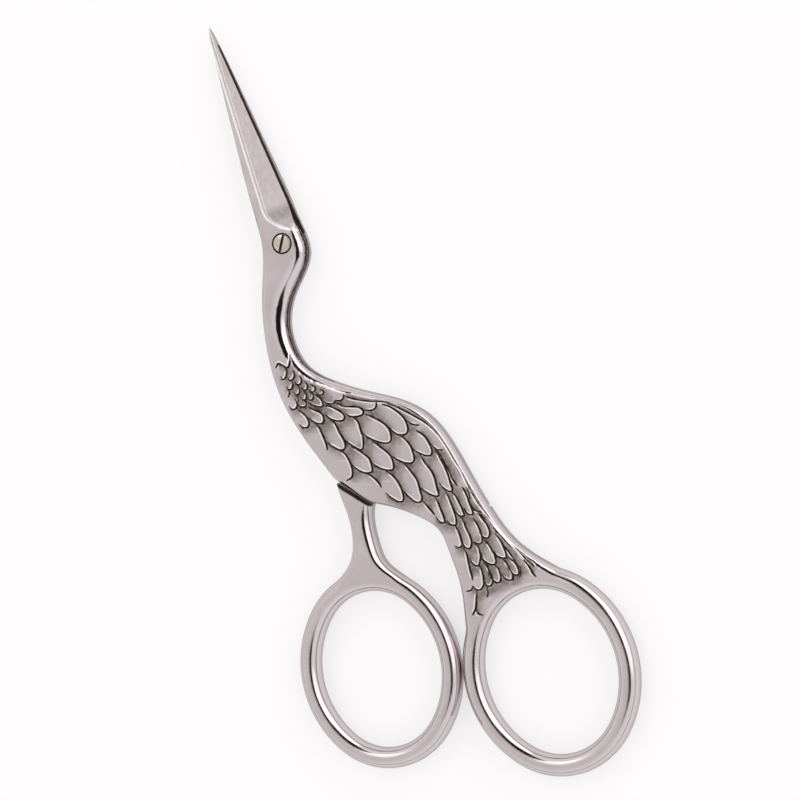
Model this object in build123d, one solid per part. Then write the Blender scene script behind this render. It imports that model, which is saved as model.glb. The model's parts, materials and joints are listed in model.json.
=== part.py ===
"""Stork embroidery scissors: two lapped forged halves that turn on one slotted pivot screw.

The front half carries the front blade, the stork's body and the right leg with its finger ring.
The rear half carries the rear blade, the plate behind the body and the left leg with its ring.
The scissors lie closed on their backs: X runs to the right, Y to the blade points, Z up.
"""
from build123d import *
from math import cos, radians, sin, sqrt
import os

# Forged halves
half_thickness = 2.0          # parting face to the flat outer face, front or back
lap_gap = 0.04                # between the two parting faces
shoulder_gap = 0.45           # between a lapped plate and the other half's leg, down the leg
wall_share = 0.35             # straight wall under an outline's rounded edge, of the thickness
turn_height_share = 0.78      # middle of the rounded edge: its height, of the thickness,
turn_inset_share = 0.25       # and how far it has turned in, of the rounding's width

# Blades
blade_length = 33.65          # pivot to point
blade_lean = 20.9             # degrees that the closed blades lean to the left
blade_aside = 0.12            # middle line of the blades, left of the pivot
blade_root_rise = 3.0         # pivot to the root, along the blade
blade_root_width = 5.9
blade_nose_length = 1.9       # last stretch, where the spine turns in to the point
blade_nose_width = 0.85
blade_point_width = 0.16
blade_point_thickness = 0.25  # of one blade
taper_start = 4.0             # where the blade starts to thin, along it from the pivot
spine_round = 0.35            # rounded edge along the spine
edge_setback = 0.22           # cutting edge, short of the other blade's spine
edge_land = 0.08              # thickness left at the cutting edge
ridge_share = 0.34            # spine to ridge, of the blade's width
grind_start = 5.9             # where the ground face starts, along the blade from the pivot
grind_radius = 8.0            # wheel that leaves the run-out below the ground face

# Handles
handle_reach = 40.5           # pivot across to the middle of the right ring
handle_drop = 60.9            # pivot down to the middle of the right ring; the rings' ends are level
boss_round = 0.8              # rounded edge round the pivot
neck_round = 1.1
back_round = 1.35
breast_round = 0.9
belly_round = 0.45
leg_round = 0.9

# Finger rings, leaning ovals with a rounded section
ring_height = 3.8             # front to back
ring_side_count = 24          # flat sides that stand for the wire's round section
left_hole_width = 18.6
left_hole_height = 22.8
left_wire = 3.07
left_lean = 12.2              # degrees, top to the left
right_hole_width = 19.9
right_hole_height = 23.95
right_wire = 3.19
right_lean = 17.7
ring_gap = 0.06               # between the closed rings
oval_end_share = 0.88         # end radius of an oval, of its half width
root_out_share = 0.05         # where a leg's outline ends in the ring's wire, outside its middle,
root_in_share = 0.25          # and inside it, of the wire
root_round = 0.5              # rounded edge where a leg runs out on its ring
root_end_round = 0.15         # and at its two ends
merge_round = 1.1             # and along the ring's outer edge
knee_share = 0.2              # from the crotch, across and down to clear the left leg, of the reach
left_ring_share = 0.3624      # left ring's middle where the tables have it, of handle_reach

# Pivot screw
head_diameter = 2.65
head_height = 0.9
head_dome = 0.15
head_proud = 0.05             # head's rim above the flat face
head_play = 0.2               # head in its recess, all round
shank_diameter = 1.7
shank_play = 0.03             # shank in the front half's bore
thread_play = 0.015           # shank in the rear half's hole
seat_play = 0.02              # under the head
slot_width = 0.38
slot_depth = 0.45
slot_lean = 12.5              # degrees off upright

overrun = 5.0                 # how far a cut goes past what it cuts

# Outline rows of the body: across and down from the pivot, as shares of handle_reach and
# handle_drop, and the width of the rounded edge there.
breast_shares = [
    (-0.086, 0.002, boss_round), (-0.082, 0.052, boss_round), (-0.087, 0.131, neck_round),
    (-0.076, 0.221, neck_round), (-0.039, 0.327, breast_round), (0.029, 0.42, breast_round),
    (0.107, 0.49, breast_round), (0.195, 0.561, belly_round),
]
belly_shares = [
    (0.331, 0.613, belly_round), (0.442, 0.628, belly_round), (0.531, 0.649, belly_round),
    (0.59, 0.674, belly_round), (0.627, 0.722, belly_round),
]
thigh_shares = [(0.627, 0.722, belly_round), (0.654, 0.769, leg_round)]
back_shares = [
    (0.766, 0.613, back_round), (0.689, 0.532, back_round), (0.625, 0.464, back_round),
    (0.544, 0.404, back_round), (0.444, 0.37, back_round), (0.303, 0.349, back_round),
    (0.173, 0.325, back_round), (0.079, 0.292, neck_round), (0.027, 0.236, boss_round),
    (0.012, 0.177, neck_round), (0.037, 0.111, neck_round), (0.072, 0.064, neck_round),
    (0.087, 0.017, boss_round), (0.074, -0.015, boss_round),
]
outer_leg_shares = [
    (0.195, 0.561, breast_round), (0.212, 0.595, leg_round), (0.242, 0.643, leg_round),
    (0.261, 0.699, leg_round),
]
inner_leg_shares = [
    (0.331, 0.613, belly_round), (0.329, 0.653, leg_round), (0.346, 0.704, leg_round),
]

# Outline rows near a ring: across and up from the ring's middle, as shares of its half width and
# half height, and the width of the rounded edge there.
thigh_end_shares = [
    (-1.005, 0.732, leg_round), (-0.977, 0.552, leg_round), (-0.962, 0.367, merge_round),
]
rump_shares = [
    (0.635, 0.697, merge_round), (0.404, 0.857, merge_round), (0.16, 0.948, back_round),
    (-0.114, 1.058, back_round), (-0.413, 1.228, back_round),
]
outer_leg_end_shares = [
    (-0.355, 1.082, leg_round), (-0.493, 0.909, leg_round), (-0.669, 0.778, merge_round),
]
inner_leg_end_shares = [
    (0.051, 1.082, leg_round), (0.283, 0.941, leg_round), (0.532, 0.799, merge_round),
]


class Oval:
    """A leaning oval: two end arcs on its long axis and two side arcs, tangent all round."""

    def __init__(self, half_width, half_height, lean=0.0):
        self.lean = lean
        self.end_radius = oval_end_share * half_width
        self.end_rise = half_height - self.end_radius
        self.side_radius = ((half_width**2 + self.end_rise**2 - self.end_radius**2)
                            / (2 * (half_width - self.end_radius)))
        self.side_shift = self.side_radius - half_width
        self.middle = (0, 0)

    def reach(self, angle, offset=0.0):
        """Point, from the oval's middle, where the line offset outwards faces along angle."""
        turned = radians(angle - self.lean)
        facing_x, facing_z = cos(turned), sin(turned)
        on_side = abs(facing_z) * self.side_shift < abs(facing_x) * self.end_rise
        if on_side:
            radius = self.side_radius + offset
            x = facing_x * radius - self.side_shift * (1 if facing_x > 0 else -1)
            z = facing_z * radius
        else:
            radius = self.end_radius + offset
            x = facing_x * radius
            z = facing_z * radius + self.end_rise * (1 if facing_z > 0 else -1)
        lean = radians(self.lean)
        return x * cos(lean) - z * sin(lean), x * sin(lean) + z * cos(lean)

    def at(self, angle, offset=0.0):
        """The same point, from the pivot."""
        x, y = self.reach(angle, offset)
        return self.middle[0] + x, self.middle[1] + y

    def arcs(self):
        """The four arcs, from the right end of the top one round to it again."""
        switch = Vector(self.side_shift, self.end_rise).get_angle(Vector(1, 0))
        corners = [switch, 180 - switch, 180 + switch, 360 - switch, 360 + switch]
        arcs = []
        for start, stop in zip(corners, corners[1:]):
            facing = [self.lean + start, self.lean + (start + stop) / 2, self.lean + stop]
            arcs.append(ThreePointArc(*(place(self.at(angle)) for angle in facing)))
        return arcs


class Ring(Oval):
    """A finger ring: the middle line of its wire is a leaning oval."""

    def __init__(self, hole_width, hole_height, wire, lean):
        super().__init__((hole_width + wire) / 2, (hole_height + wire) / 2, lean)
        self.wire = wire
        self.half_width = hole_width / 2 + wire
        self.half_height = hole_height / 2 + wire

    def solid(self):
        """The ring: its rounded section carried round the middle line."""
        path = self.arcs()
        half_side = 180 / ring_side_count
        corners = [radians(half_side * (2 * side + 1)) for side in range(ring_side_count)]
        across, tall = (size / 2 / cos(radians(half_side)) for size in (self.wire, ring_height))
        section = Face(Wire.make_polygon([(across * cos(turn), tall * sin(turn)) for turn in corners]))
        heading = path[0] % 0
        section_plane = Plane(path[0] @ 0, x_dir=heading.cross(Vector(0, 0, 1)), z_dir=heading)
        return sweep(section_plane * section, path=Wire(path))


def place(point, height=0.0):
    """A point of the plan, set at a height above the parting face."""
    return Vector(point[0], point[1], height)


def make_rings():
    """Both rings, their far ends level and their sides ring_gap apart."""
    left = Ring(left_hole_width, left_hole_height, left_wire, left_lean)
    right = Ring(right_hole_width, right_hole_height, right_wire, right_lean)
    right.middle = (handle_reach, -handle_drop)
    sides = right.reach(0, right.wire / 2)[0] + left.reach(0, left.wire / 2)[0]
    ends = right.reach(270, right.wire / 2)[1] - left.reach(270, left.wire / 2)[1]
    left.middle = (handle_reach - sides - ring_gap, ends - handle_drop)
    return left, right


def rows(shares):
    """Outline rows of the body in millimetres: across, up and rounded edge."""
    return [(across * handle_reach, -down * handle_drop, edge) for across, down, edge in shares]


def ring_rows(shares, ring):
    """Outline rows near a ring in millimetres: across, up and rounded edge."""
    x, y = ring.middle
    return [(x + across * ring.half_width, y + up * ring.half_height, edge)
            for across, up, edge in shares]


def leaning(leg, ring):
    """The left leg's rows, moved across with its ring: not at the top, and fully at the ring."""
    aside = ring.middle[0] - left_ring_share * handle_reach
    top = leg[0][1]
    foot = ring.middle[1] + ring.half_height
    return [(x + aside * (top - y) / (top - foot), y, edge) for x, y, edge in leg]


def blade_half_width(along):
    """Half the blade's width, at a distance from the pivot."""
    nose = blade_length - blade_nose_length
    share = (along - blade_root_rise) / (nose - blade_root_rise)
    return (blade_root_width + share * (blade_nose_width - blade_root_width)) / 2


def blade_point(along, across):
    """A point of the side view, from its place along and right of the blades' middle line."""
    lean = radians(blade_lean)
    aside = across - blade_aside
    return -along * sin(lean) + aside * cos(lean), along * cos(lean) + aside * sin(lean)


def blade_rows(spine_side):
    """Rows of the blade's two edges: up the spine to the point, and down the cutting edge."""
    nose = blade_length - blade_nose_length
    root_half = blade_half_width(blade_root_rise)
    nose_half = blade_half_width(nose)
    point_edge = blade_point_width / 2
    spine = [blade_point(blade_root_rise, spine_side * root_half),
             blade_point(nose, spine_side * nose_half),
             blade_point(blade_length, spine_side * point_edge)]
    edge = [blade_point(blade_length, -spine_side * point_edge),
            blade_point(blade_root_rise, -spine_side * (root_half - edge_setback))]
    spine_edges = [spine_round, blade_point_width, point_edge / 2]
    edge_edges = [point_edge / 2, spine_round]
    return ([(*p, e) for p, e in zip(spine, spine_edges)],
            [(*p, e) for p, e in zip(edge, edge_edges)])


def inset_points(points):
    """Each outline point moved in by its rounded edge, square to the outline, mitred at corners."""
    area = sum(a[0] * b[1] - b[0] * a[1] for a, b in zip(points, points[1:] + points[:1]))
    turn = 1 if area > 0 else -1
    moved = []
    for before, here, after in zip(points[-1:] + points[:-1], points, points[1:] + points[:1]):
        arriving = Vector(here[0] - before[0], here[1] - before[1]).normalized()
        leaving = Vector(after[0] - here[0], after[1] - here[1]).normalized()
        heading = (arriving + leaving).normalized()
        width = here[2] / max(heading.dot(leaving), 1 / sqrt(2))
        moved.append((here[0] - turn * heading.Y * width, here[1] + turn * heading.X * width))
    return moved


def section(runs, height, inset_share):
    """The outline at one height, as a face. Each run is a curve, or lines where it is straight."""
    points = [row for run, _ in runs for row in run[:-1]]
    inner = inset_points(points)
    edges = []
    start = 0
    for run, curved in runs:
        places = []
        for index in range(start, start + len(run)):
            index %= len(points)
            x = points[index][0] + inset_share * (inner[index][0] - points[index][0])
            y = points[index][1] + inset_share * (inner[index][1] - points[index][1])
            places.append(place((x, y), height))
        if curved:
            edges.append(Spline(*places))
        else:
            edges += [Line(a, b) for a, b in zip(places, places[1:])]
        start += len(run) - 1
    return Face(Wire(edges))


def layer(runs, inner_face=lap_gap / 2):
    """One forged layer above its inner face, with a straight wall and a rounded edge."""
    stations = [(inner_face, 0), (wall_share * half_thickness, 0),
                (turn_height_share * half_thickness, turn_inset_share), (half_thickness, 1)]
    return loft([section(runs, height, share) for height, share in stations], ruled=True)


def ring_runs(ring, first_angle, last_angle):
    """Where a leg ends on its ring: into the wire, along inside its middle line, and out again."""
    out = root_out_share * ring.wire
    inside = -root_in_share * ring.wire
    span = last_angle - first_angle
    arc = [(*ring.at(first_angle + share * span, inside), root_round)
           for share in (0, 0.25, 0.5, 0.75, 1)]
    first = (*ring.at(first_angle, out), root_end_round)
    last = (*ring.at(last_angle, out), root_end_round)
    return first, [([first, arc[0]], False), (arc, True), ([arc[-1], last], False)], last


def body_runs(ring, spine_side):
    """Front layer of the front half: blade, breast, belly, thigh, ring end, rump, back."""
    spine, edge = blade_rows(spine_side)
    spine_down = spine[::-1]
    breast = [spine_down[-1]] + rows(breast_shares)
    belly = rows(belly_shares)
    thigh_end, ring_end, rump_start = ring_runs(ring, 182, 34)
    thigh = rows(thigh_shares) + ring_rows(thigh_end_shares, ring)
    flank = belly[:-1] + thigh + [thigh_end]
    topline = [rump_start] + ring_rows(rump_shares, ring) + rows(back_shares) + [edge[-1]]
    return [(spine_down, False), (breast, True), ([breast[-1], belly[0]], False), (flank, True),
            *ring_end, (topline, True), (edge[::-1], False), ([edge[0], spine[-1]], False)]


def plate_runs(ring, spine_side):
    """Rear layer of the rear half: blade, breast, left leg, belly, shoulder, back."""
    spine, edge = blade_rows(spine_side)
    breast = [edge[-1]] + rows(breast_shares)[:-1]
    leg_end, ring_end, leg_start = ring_runs(ring, 158, 27)
    outer_leg = leaning(rows(outer_leg_shares), ring) + ring_rows(outer_leg_end_shares, ring)
    inner_leg = leaning(rows(inner_leg_shares), ring) + ring_rows(inner_leg_end_shares, ring)
    outside = breast + outer_leg + [leg_end]
    inside = [leg_start] + inner_leg[::-1]
    belly = rows(belly_shares)
    back = rows(back_shares) + [spine[0]]
    return [(edge, False), (outside, True), *ring_end, (inside, True), (belly, True),
            ([belly[-1], back[0]], False), (back, True), (spine, False),
            ([spine[-1], edge[0]], False)]


def below_shoulder(first, last, knee):
    """Everything below a shoulder's line: the line starts past first, ends past last, and drops
    by knee, across and down, before it runs level."""
    line = Vector(last[0] - first[0], last[1] - first[1]).normalized()
    drop = Vector(0, -shoulder_gap)
    start = Vector(*first[:2]) - line * overrun + drop
    end = Vector(*last[:2]) + line * shoulder_gap + drop
    bend = end + Vector(*knee)
    level = bend + Vector(handle_reach, 0)
    floor = -2 * handle_drop
    corners = [start, end, bend, level, Vector(level.X, floor), Vector(start.X, floor)]
    outline = Face(Wire.make_polygon([corner - Vector(0, 0, overrun) for corner in corners]))
    return extrude(outline, amount=2 * overrun, dir=(0, 0, 1))


def left_leg_layer(ring):
    """Front layer of the left leg: the rear plate's outline, below the belly's shoulder."""
    knee = (knee_share * handle_reach, -knee_share * handle_reach)
    shoulder = below_shoulder(rows(outer_leg_shares)[0], rows(inner_leg_shares)[0], knee)
    return layer(plate_runs(ring, 1), -lap_gap / 2) & shoulder


def right_leg_layer(ring):
    """Rear layer of the right leg: the body's outline, below the rear plate's shoulder."""
    thigh_top, rump_top = rows(thigh_shares)[0], rows(back_shares)[0]
    mirrored = layer(body_runs(ring, -1), -lap_gap / 2)
    return to_back(mirrored & below_shoulder(thigh_top, rump_top, (0, overrun)))


def blade_height(along):
    """Thickness of one blade at a distance from the pivot, where it has started to thin."""
    share = (along - taper_start) / (blade_length - taper_start)
    return half_thickness + share * (blade_point_thickness - half_thickness)


def blade_place(along, across, height):
    """A point on or in the front blade."""
    return place(blade_point(along, across), height)


def taper_cut():
    """What the blade's thinning takes off its flat face."""
    foot = blade_place(taper_start, 0, half_thickness)
    tip = blade_place(blade_length, 0, blade_point_thickness)
    along = (tip - foot).normalized()
    across = blade_place(taper_start, 1, half_thickness) - foot
    facing = along.cross(across)
    facing = facing if facing.Z > 0 else -facing
    face = Plane(foot, x_dir=along, z_dir=facing)
    length = blade_length + overrun
    return face * Box(length, 2 * blade_root_width, overrun, align=(Align.MIN, Align.CENTER, Align.MIN))


def grind_cut(spine_side):
    """What grinding takes off beside the ridge, with the wheel's run-out towards the pivot."""
    half = blade_half_width(grind_start)
    nose = blade_length - blade_nose_length
    ridge = spine_side * half * (1 - 2 * ridge_share)
    edge = blade_place(grind_start, spine_side * (edge_setback - half), edge_land)
    edge_tip = blade_place(nose, spine_side * (edge_setback - blade_half_width(nose)), edge_land)
    crest = blade_place(grind_start, ridge, blade_height(grind_start))
    along = (edge_tip - edge).normalized()
    facing = along.cross(crest - edge).normalized()
    facing = facing if facing.Z > 0 else -facing
    across = facing.cross(along)
    profile_plane = Plane(edge, x_dir=along, z_dir=across)
    rise = overrun
    run_out = sqrt(grind_radius**2 - (grind_radius - rise)**2)
    half_turn = sqrt(grind_radius**2 - (grind_radius - rise / 4)**2)
    up = 1 if profile_plane.y_dir.dot(facing) > 0 else -1
    wheel = ThreePointArc((-run_out, up * rise), (-half_turn, up * rise / 4), (0, 0))
    far = blade_length + overrun
    sides = Polyline((0, 0), (far, 0), (far, up * rise), (-run_out, up * rise))
    profile = Face(Wire([wheel, *sides.edges()]))
    return extrude(profile_plane * profile, amount=2 * blade_root_width, both=True)


def ground(blank, spine_side):
    """A front layer with its blade thinned and ground."""
    return blank - taper_cut() - grind_cut(spine_side)


def pivot_bar(diameter, low, high):
    """A round bar on the pivot's axis, between two heights above the parting face."""
    bar = Cylinder(diameter / 2, high - low, align=(Align.CENTER, Align.CENTER, Align.MIN))
    return Pos(0, 0, low) * bar


def to_back(solid):
    """The same layer below the parting face."""
    return mirror(solid, about=Plane.XY)


def make_front_half(right_ring):
    """Front blade, stork's body, right leg and right ring."""
    half = ground(layer(body_runs(right_ring, -1)), -1)
    half += right_leg_layer(right_ring)
    half += right_ring.solid()
    recess_floor = half_thickness + head_proud - head_height - seat_play
    half -= pivot_bar(head_diameter + 2 * head_play, recess_floor, half_thickness + overrun)
    half -= pivot_bar(shank_diameter + 2 * shank_play, -overrun, half_thickness)
    return half


def make_rear_half(left_ring):
    """Rear blade, plate behind the body, left leg and left ring."""
    half = to_back(ground(layer(plate_runs(left_ring, 1)), 1))
    half += left_leg_layer(left_ring)
    half += left_ring.solid()
    half -= pivot_bar(shank_diameter + 2 * thread_play, -half_thickness - overrun, overrun)
    return half


def make_screw():
    """Slotted screw: domed head in the front half's recess, shank through to the rear face."""
    rim = half_thickness + head_proud
    head = pivot_bar(head_diameter, rim - head_height, rim)
    dome_radius = ((head_diameter / 2)**2 + head_dome**2) / (2 * head_dome)
    dome = Pos(0, 0, rim + head_dome - dome_radius) * Rot(90, 0, 0) * Sphere(dome_radius)
    dome &= pivot_bar(head_diameter, rim - seat_play, rim + overrun)
    shank = pivot_bar(shank_diameter, -half_thickness, rim - head_height / 2)
    on_floor = (Align.CENTER, Align.CENTER, Align.MIN)
    slot = Box(slot_width, head_diameter + overrun, overrun, align=on_floor)
    slot = Pos(0, 0, rim + head_dome - slot_depth) * Rot(0, 0, -slot_lean) * slot
    return head + dome + shank - slot


def main():
    """Build the three pieces, lay them on their back and write them."""
    left_ring, right_ring = make_rings()
    pieces = {
        "front_half": make_front_half(right_ring),
        "rear_half": make_rear_half(left_ring),
        "pivot_screw": make_screw(),
    }
    box = Compound([solid for piece in pieces.values() for solid in piece.solids()]).bounding_box()
    rest = Pos(-(box.min.X + box.max.X) / 2, -(box.min.Y + box.max.Y) / 2, -box.min.Z)
    print("pivot at", rest.position)
    print("size", box.size)
    os.makedirs("parts", exist_ok=True)
    for name, piece in pieces.items():
        print(name, "solids", len(piece.solids()), "volume", round(piece.volume, 2))
        export_step(rest * piece, f"parts/{name}.step")


main()
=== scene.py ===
"""Looks of the stork embroidery scissors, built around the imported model.

Each piece is drawn on the plan of its CAD node and raised by heights over that plan: rounded
edges, ground blades and feathers. Plan places are in millimetres from the pivot. Heights are in
millimetres from the parting face, outwards from it.
"""
import json
from math import cos, pi, radians, sin, sqrt

import bmesh
import bpy
import numpy as np
from mathutils import Matrix, Vector, kdtree
from mathutils.geometry import delaunay_2d_cdt


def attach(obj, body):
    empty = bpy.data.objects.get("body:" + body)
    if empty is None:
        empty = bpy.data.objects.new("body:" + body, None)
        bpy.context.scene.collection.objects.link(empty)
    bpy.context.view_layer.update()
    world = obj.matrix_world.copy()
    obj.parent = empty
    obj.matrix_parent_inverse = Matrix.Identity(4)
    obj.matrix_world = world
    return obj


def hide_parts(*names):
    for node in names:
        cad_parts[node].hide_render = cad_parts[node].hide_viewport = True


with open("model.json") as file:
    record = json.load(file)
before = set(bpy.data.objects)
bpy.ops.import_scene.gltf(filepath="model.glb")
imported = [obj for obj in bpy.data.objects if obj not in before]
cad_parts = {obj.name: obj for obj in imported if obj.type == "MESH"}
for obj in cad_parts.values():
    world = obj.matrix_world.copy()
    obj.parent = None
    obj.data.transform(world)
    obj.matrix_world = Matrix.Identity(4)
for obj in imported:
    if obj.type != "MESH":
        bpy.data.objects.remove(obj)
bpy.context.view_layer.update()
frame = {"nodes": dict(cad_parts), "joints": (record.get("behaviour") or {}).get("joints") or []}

MM = 0.001
PIVOT = np.array(frame["joints"][0]["pos_m"]) / MM

# Sizes that the CAD model has too
HALF_THICKNESS = 2.0
LAP_FACE = 0.02  # parting face to the face of one half
WALL = 0.7  # straight wall under a rounded edge
RING_WALL = 0.04
RING_HALF_HEIGHT = 1.9
WIRE = {"front_half": 3.19, "rear_half": 3.07}
BLADE_LENGTH = 33.65
BLADE_LEAN = radians(20.9)
BLADE_ASIDE = 0.12
ROOT_RISE = 3.0
ROOT_WIDTH = 5.9
NOSE = 31.75
NOSE_WIDTH = 0.85
TAPER_START = 4.0
POINT_THICKNESS = 0.25
EDGE_SETBACK = 0.22
EDGE_LAND = 0.08
RIDGE_SHARE = 0.34
GRIND_START = 5.9
GRIND_RADIUS = 8.0
RECESS_RADIUS = 1.525
RECESS_FLOOR = 1.13
BORE_RADIUS = {"front_half": 0.88, "rear_half": 0.865}

# Sizes of this model alone
LEAST_HEIGHT = LAP_FACE + 0.02
RIDGE_ROUND = 0.12  # distance of the faces' heights where the ridge's rounding starts
GRIND_FROM = -1.0  # below here nothing is ground
BLADE_FROM = 3.0  # above here the edges aren't polished
RING_RUN = 2.5  # from a ring's wire in to the full thickness
MOUTH_EDGE = ((0.02, 0.012), (0.0, 0.05))  # broken edge round the screw: wider, and lower
RECESS_SHADE_DOWN = 0.02  # the recess's walls get painted shade from this far down

# How far the front half stands back from the rear half on the right, by places up the scissors
STEP_PLACES = [-20.0, -15.0, -1.0, 2.5, 5.0, 24.0, 29.0]
STEP_BACK = [0.0, 0.12, 0.18, 0.14, 0.07, 0.03, 0.0]
# The painted shade line along that step: its half width and its strength, by places up the
# scissors
LINE_PLACES = [-20, -16, 2, 6, 26, 29]
LINE_WIDTHS = [0.001, 0.08, 0.08, 0.05, 0.03, 0.01]
STRENGTH_PLACES = [2, 9, 27]
STRENGTHS = [1.0, 0.64, 0.56]
LAP_SHADE_FROM = 1.5  # the rear half's step gets painted shade above here

# Painted shade and highlight that fade beside a line: width, and the number of widths at which the
# mark is gone
STEP_FADE = 1.5
CREST_FADE = (0.09, 2.3)
SHOULDER_FADE = (0.16, 1.7)

# The screw: head, dome, slot and shank
HEAD_RADIUS = 1.325
HEAD_RIM = 2.05
HEAD_DOME = 0.15
HEAD_HEIGHT = 0.9
HEAD_EDGE = 0.07  # width of the turned edge round the dome
HEAD_STEP = 0.1
HEAD_GRID = ((-1.3, -1.3), (1.3, 1.3), HEAD_STEP)
HEAD_LEAN = 0.02  # radians, so that no vertex falls on the slot's corner
SHANK_RADIUS = 0.85
SLOT_HALF = 0.19
SLOT_REACH = 1.15
SLOT_STEP = 0.05
SLOT_WALL = 0.02  # the slot's walls lean by this much
SLOT_FLOOR = 1.75
SLOT_FALL = (0.1, 0.005)  # the slot's ends fall from this far outside the head, and how steeply
SLOT_PLAY = 0.005  # what lies this little outside the slot belongs to it
SLOT_ENDS = 0.995  # the slot's corners lie this share of the way out to the dome's edge
SLOT_HIGHLIGHT_WIDTH = 0.12  # width of the painted highlight beside the slot
SLOT_LEAN = radians(12.5)
SCREW_ROWS = [  # radius and height of each turned row, from the dome to the back
    (HEAD_RADIUS - 0.02, HEAD_RIM - 0.02), (HEAD_RADIUS, HEAD_RIM - 0.07),
    (HEAD_RADIUS, HEAD_RIM - HEAD_HEIGHT + 0.05), (HEAD_RADIUS - 0.05, HEAD_RIM - HEAD_HEIGHT),
    (SHANK_RADIUS, HEAD_RIM - HEAD_HEIGHT), (SHANK_RADIUS, 0.06 - HALF_THICKNESS),
    (SHANK_RADIUS - 0.06, -HALF_THICKNESS), (0.4, -HALF_THICKNESS),
]

# How the CAD outlines are read
SLICE_HEIGHT = 0.03  # of the slices on both sides of the parting face
SAME_PLACE = 1e-4  # nearer places are one
CORNER_TURN = 1.0  # degrees
CORNERS_FROM = 1.6  # only the blade, above here, keeps its corners
SMOOTH_ROUNDS = 8  # how often an outline's kinks are evened out
WIDTH_ROUNDS = 60  # and the edge's widths along it
WIRE_PLAY = 0.1  # an outline this near a ring's wire belongs to the ring
HOLE_PLAY = 0.05
CROSSING_GAP = 0.15  # a thick part's outline this far from the half's crosses the half

# How finely the plan is divided
OUTLINE_STEP = 0.2
LINE_STEP = 0.25
BESIDE_STEP = 0.15  # along the rows beside the shoulder
MARK_STEP = 0.06  # along the shoulder's painted shade line
SPLINE_STEP = 0.12
SPLINE_PARTS = 10  # curve places between two given ones
COARSE_STEP = 0.6
FINE_STEP = 0.14
FINE_REACH = 0.9  # the fine grid's reach beside carving
COARSE_SHARE = 0.6  # of its step, the least gap of a grid from the rows
FINE_SHARE = 0.7
CARVING_GAP = 0.1
ROW_GAP = 0.08
EDGE_ROW_GAP = 0.03
EDGE_SHARES = (0.03, 0.1, 0.21, 0.36, 0.54, 0.76, 1.0)  # of the rounded edge, for its rows
EDGE_ROOM = 0.97  # a row nearer to another edge than this share of its own is left out
EDGE_REACH = 3.2  # farther than this from an edge, nothing is rounded
RING_REACH = 4.2  # and from a finger hole
# Rows beside the ridge and the shoulder, and a grid over the wheel's run-out
RIDGE_ROWS = (-0.42, -0.3, -0.2, -0.1, 0.1, 0.2, 0.3, 0.42)
SHOULDER_ROWS = (-0.5, -0.3, -0.15, 0.15, 0.3, 0.5)
RUN_OUT_GRID = ((-5.5, -1.0), (4.5, 7.5), 0.16)
BLADE_REACH = 3.0  # aside of the blades' middle line, beyond both their sides
CIRCLE_SIDES = 96
MOUTH_GROW = 0.05  # how much wider the face's hole is than the mouth
COLLARS = (0.2, 0.45)  # and the circles round it
SCREW_ROOM = {1: 2.3, -1: 1.3}  # by side: nearer to the screw lie only those circles
SHARP_ANGLE = radians(50)

# The feathers' grooves
GROOVE_DEPTH = 0.26
GROOVE_SHIFT = 0.04  # groove's bottom, outside the feather's edge
GROOVE_INNER = 0.07  # half width of the groove on the feather's side
GROOVE_OUTER = 0.14  # and on the side of the feather below
GROOVE_TAIL = 0.9  # how far the feather below takes to come up
GROOVE_END = 0.8  # length over which a groove fades at its ends
TAIL_SHARE = 0.46
RIM_SHIFT = 0.18  # the feather's rim, raised a little and given painted highlight, inside its edge
RIM_WIDTH = 0.09
RIM_RISE = 0.05
GROOVE_ROWS = (-0.34, -0.2, -0.11, -0.03, 0.04, 0.12, 0.22, 0.38)
GROOVE_ROW_GAP = 0.06
CARVING_REACH = 1.6  # farther than this from a groove, nothing is carved
CARVED_UNTIL = 0.85  # nearness of an edge where carving ends, and how softly
CARVED_FADE = 0.5

# Steel: colours, and roughness from fine to coarse
TINT = (0.6, 0.56, 0.57)  # of the shine at grazing angles
SATIN_DARK, SATIN_PALE = (0.49, 0.445, 0.445), (0.535, 0.49, 0.492)
POLISHED = (0.64, 0.59, 0.605)
# Brownish painted shade beside the grooves and the other painted shade lines
SHADE_BROWN = (0.18, 0.145, 0.122)
# Painted highlight on the blade's ridge and the feathers' rims
PAINTED_HIGHLIGHT = (0.85, 0.81, 0.8)
# Near-black painted shade in the grooves, along the parting step and the shoulder, and in the
# recess
PAINTED_SHADE = (0.037, 0.028, 0.023)
SATIN_ROUGHNESS = (0.25, 0.36)
POLISHED_ROUGHNESS = 0.09
HIGHLIGHT_ROUGHNESS = 0.4
GROOVE_ROUGHNESS = 0.55
TURNED_DARK, TURNED_PALE = (0.52, 0.45, 0.385), (0.59, 0.53, 0.475)
# Painted highlight beside the screw's slot
TURNED_HIGHLIGHT = (0.67, 0.62, 0.58)
# Painted shade in the screw's slot
SLOT_SHADE = (0.067, 0.045, 0.033)
TURNED_ROUGHNESS = (0.14, 0.24)
SLOT_ROUGHNESS = 0.5
FORGED_BUMP = 0.0000012  # metres
TURNED_BUMP = 0.000004

# The photograph's view: where it looks, its own directions, and its lens
VIEW_TARGET = np.array([17.498, -22.511, 0.0])
VIEW_RIGHT = Vector((0.93969262, 0, -0.34202014))
VIEW_UP = Vector((-0.01491871, 0.99904822, -0.04098882))
VIEW_BACK = Vector((0.34169462, 0.04361939, 0.93879824))
VIEW_AWAY = 0.6  # metres
SENSOR = 36
FOCAL_LENGTH = 4164 * SENSOR / 800

# The floor
FLOOR_HALF = 1.5  # metres
FLOOR_COLOUR = (0.93, 0.92, 0.91)
FLOOR_GLOW = 1.06
GLOW_SHARE = 0.6  # the rest of what is seen of the floor is lit, and keeps the shadow

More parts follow.
